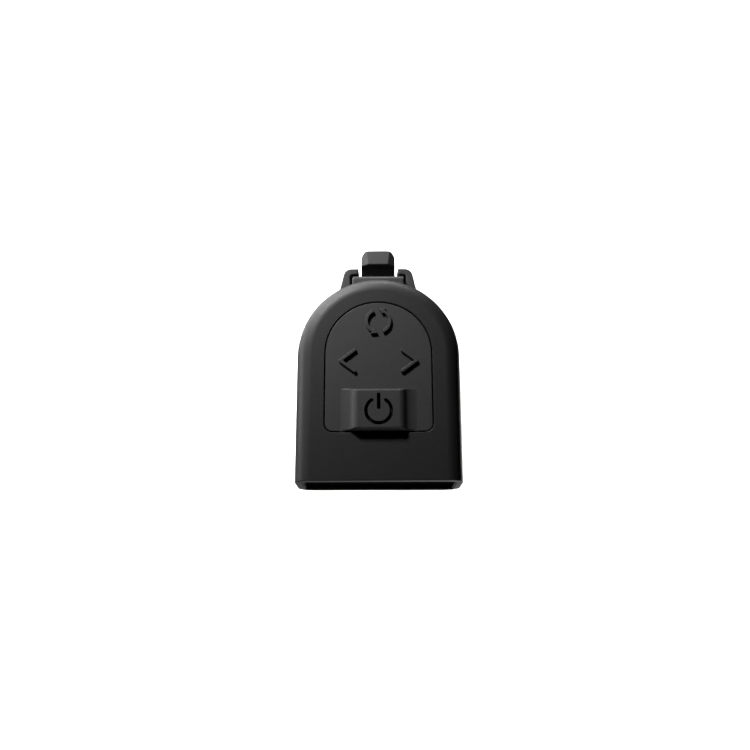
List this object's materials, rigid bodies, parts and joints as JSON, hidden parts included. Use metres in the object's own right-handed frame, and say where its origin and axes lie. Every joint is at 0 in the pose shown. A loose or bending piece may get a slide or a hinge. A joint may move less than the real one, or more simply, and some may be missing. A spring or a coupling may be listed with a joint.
{
  "type": "clip on tuner",
  "caption": "Small clip-on headstock tuner: round-ended head with a four-way rocker key plate and an end display, on a swivelling ratchet slide clamp.",
  "frame": {"origin": "on the swivel axis, at the lower (gripping) face of the fixed clamping pad", "axes": "+Z out of the key face, +Y from the display end to the rail end, +X to the right"},
  "size_m": [0.0278, 0.0475, 0.0422],
  "materials": {
    "head_shell": "satin",
    "key_face": "satin",
    "clamp_plastic": "satin",
    "pad_rubber": "matte",
    "window": "gloss",
    "lcd_glass": "gloss",
    "light_guide": "gloss",
    "board": "satin",
    "flex_film": "satin",
    "chip_resin": "matte",
    "cradle_plastic": "satin",
    "silicone": "matte",
    "nickel": "polished",
    "cell_steel": "satin",
    "screw_steel": "satin",
    "spring_steel": "polished",
    "piezo_brass": "satin",
    "washer_nylon": "matte"
  },
  "bodies": {
    "clamp": {"clamp_bracket": "clamp_plastic", "fixed_pad": "pad_rubber", "friction_washer": "washer_nylon", "rail_stop": "clamp_plastic", "rail_stop_screw": "screw_steel"},
    "head": {"front_housing": "head_shell", "rear_cover": "head_shell", "battery_cell": "cell_steel", "battery_cradle": "cradle_plastic", "battery_contact_plus": "nickel", "battery_contact_minus": "nickel", "circuit_board": "board", "controller_chip": "chip_resin", "crystal_oscillator": "nickel", "snap_domes": "nickel", "display_window": "window", "lcd_panel": "lcd_glass", "backlight": "light_guide", "display_flex": "flex_film", "piezo_disc": "piezo_brass", "piezo_leads": "nickel", "housing_screws": "screw_steel", "swivel_screw": "screw_steel", "swivel_washer": "spring_steel"},
    "door": {"battery_door": "head_shell"},
    "rocker": {"rocker_pivot_pad": "silicone"},
    "keys": {"key_plate": "key_face"},
    "jaw": {"moving_jaw": "clamp_plastic", "jaw_pad": "pad_rubber", "lever_pin": "spring_steel", "lever_spring": "spring_steel"},
    "lever": {"release_lever": "clamp_plastic"}
  },
  "joints": [
    {"name": "body_swivel", "type": "hinge", "parent": "clamp", "child": "head", "pos_m": [0, 0, 0.0034], "axis": [0, 0, 1], "continuous": true},
    {"name": "jaw_slide", "type": "slide", "parent": "clamp", "child": "jaw", "axis": [0, 0, -1], "range_m": [-0.0043, 0.0134]},
    {"name": "lever_pivot", "type": "hinge", "parent": "jaw", "child": "lever", "pos_m": [0, 0.0126, -0.0069], "axis": [1, 0, 0], "range_deg": [0, 9], "stiffness_Nm_per_rad": 0.06, "springref_deg": -2.86},
    {"name": "key_tilt_front_back", "type": "hinge", "parent": "head", "child": "rocker", "pos_m": [0, -0.011, 0.0136], "axis": [1, 0, 0], "range_deg": [-2, 2], "stiffness_Nm_per_rad": 0.1},
    {"name": "key_tilt_left_right", "type": "hinge", "parent": "rocker", "child": "keys", "pos_m": [0, -0.011, 0.0136], "axis": [0, 1, 0], "range_deg": [-2, 2], "stiffness_Nm_per_rad": 0.1},
    {"name": "battery_door_turn", "type": "hinge", "parent": "head", "child": "door", "pos_m": [0, -0.0143, 0.0043], "axis": [0, 0, 1], "range_deg": [0, 45]}
  ]
}
